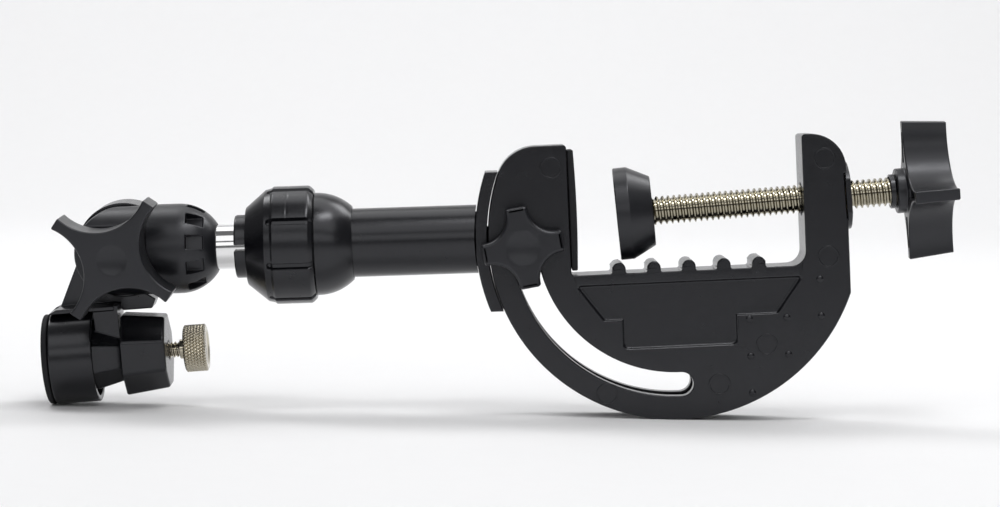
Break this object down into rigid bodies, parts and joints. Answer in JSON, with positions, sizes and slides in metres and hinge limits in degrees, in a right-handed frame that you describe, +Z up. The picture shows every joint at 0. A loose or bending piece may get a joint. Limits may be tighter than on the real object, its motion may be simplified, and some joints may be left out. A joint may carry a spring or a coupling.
{
  "type": "clamp-on articulated holder arm",
  "caption": "Screw clamp with an arc slot, a sliding carriage, a telescopic twist-lock arm, a knuckle joint and a small round platform with a captive mounting screw.",
  "frame": {"origin": "middle of the footprint, on the surface that the clamp and the platform lie on", "axes": "+X along the object from the platform to the hand knob, +Y to the back, +Z up"},
  "size_m": [0.3162, 0.0566, 0.1048],
  "materials": {
    "satin_black": "satin moulded",
    "knob_black": "satin moulded, slightly lighter",
    "rubber": "matte",
    "nickel": "nickel plated",
    "chrome_rod": "polished",
    "steel": "zinc plated",
    "brass": "machined"
  },
  "bodies": {
    "clamp": {"clamp_frame": "satin_black", "fixed_jaw_pad": "rubber", "threaded_bush": "brass", "bush_cover": "satin_black"},
    "pad_carrier": {"pad_clip": "steel"},
    "screw": {"clamp_screw": "nickel", "knob_collar": "satin_black", "hand_knob": "knob_black", "hand_knob_cap": "knob_black"},
    "pad": {"swivel_pad": "knob_black", "swivel_pad_face": "rubber"},
    "carriage": {"carriage_shoe": "satin_black", "lock_bolt": "steel", "back_washer": "steel", "front_washer": "steel", "arm_tube": "satin_black", "collet_housing": "satin_black", "split_collet": "satin_black"},
    "lock_knob": {"lock_knob": "knob_black", "lock_knob_cap": "knob_black"},
    "twist_nut": {"twist_nut": "satin_black"},
    "rod_slider": {"rod_guide": "knob_black"},
    "rod": {"rod": "chrome_rod", "knuckle_cup": "knob_black", "cup_screw": "steel"},
    "head": {"head_bracket": "satin_black", "guide_block": "satin_black", "friction_disc": "rubber", "knuckle_bolt": "steel", "knuckle_washer": "steel"},
    "knuckle_knob": {"knuckle_knob": "knob_black", "knuckle_knob_cap": "knob_black"},
    "platform": {"platform_disc": "satin_black", "platform_pad": "rubber"},
    "screw_slider": {"screw_clip": "steel"},
    "mount_screw": {"mount_screw": "nickel", "screw_knob": "nickel"}
  },
  "joints": [
    {"name": "clamp_feed", "type": "slide", "parent": "clamp", "child": "pad_carrier", "axis": [-0.9949, 0, -0.1011], "range_m": [-0.047, 0.0098]},
    {"name": "clamp_screw_turn", "type": "hinge", "parent": "pad_carrier", "child": "screw", "pos_m": [0.04721, 0.00415, 0.07098], "axis": [-0.9949, 0, -0.1011], "range_deg": [-8500, 1770]},
    {"name": "pad_swivel", "type": "hinge", "parent": "pad_carrier", "child": "pad", "pos_m": [0.04721, 0.00415, 0.07098], "axis": [0, -1, 0], "range_deg": [-4, 1.2]},
    {"name": "carriage_swing", "type": "hinge", "parent": "clamp", "child": "carriage", "pos_m": [0.06008, 0.00415, 0.0642], "axis": [0, -1, 0], "range_deg": [0, 87.5]},
    {"name": "lock_knob_turn", "type": "hinge", "parent": "carriage", "child": "lock_knob", "pos_m": [0.00799, -0.01085, 0.05885], "axis": [0, 1, 0], "range_deg": [-270, 0]},
    {"name": "twist_nut_turn", "type": "hinge", "parent": "carriage", "child": "twist_nut", "pos_m": [-0.07514, 0.00415, 0.0572], "axis": [-0.9987, 0, -0.0516], "range_deg": [-90, 0]},
    {"name": "rod_slide", "type": "slide", "parent": "carriage", "child": "rod_slider", "axis": [-0.9987, 0, -0.0516], "range_m": [-0.0028, 0.0355]},
    {"name": "rod_spin", "type": "hinge", "parent": "rod_slider", "child": "rod", "pos_m": [-0.05916, 0.00415, 0.05803], "axis": [-0.9987, 0, -0.0516], "continuous": true},
    {"name": "knuckle_tilt", "type": "hinge", "parent": "rod", "child": "head", "pos_m": [-0.13056, 0.00415, 0.05434], "axis": [-0.003, 0.9983, 0.0575], "range_deg": [-6, 130]},
    {"name": "knuckle_knob_turn", "type": "hinge", "parent": "head", "child": "knuckle_knob", "pos_m": [-0.13049, -0.01981, 0.05296], "axis": [-0.003, 0.9983, 0.0575], "range_deg": [-270, 0]},
    {"name": "platform_turn", "type": "hinge", "parent": "head", "child": "platform", "pos_m": [-0.1483, 0.00628, 0.01642], "axis": [-0.9954, 0.0026, -0.0959], "continuous": true},
    {"name": "mount_screw_feed", "type": "slide", "parent": "head", "child": "screw_slider", "axis": [-0.9954, 0.0026, -0.0959], "range_m": [0, 0.0036]},
    {"name": "mount_screw_turn", "type": "hinge", "parent": "screw_slider", "child": "mount_screw", "pos_m": [-0.11844, 0.0062, 0.0193], "axis": [-0.9954, 0.0026, -0.0959], "range_deg": [0, 1025]}
  ],
  "couplings": [
    {"joint": "clamp_screw_turn", "follows": "clamp_feed", "rad_per_m": 3141.6},
    {"joint": "mount_screw_turn", "follows": "mount_screw_feed", "rad_per_m": 4947.4}
  ]
}
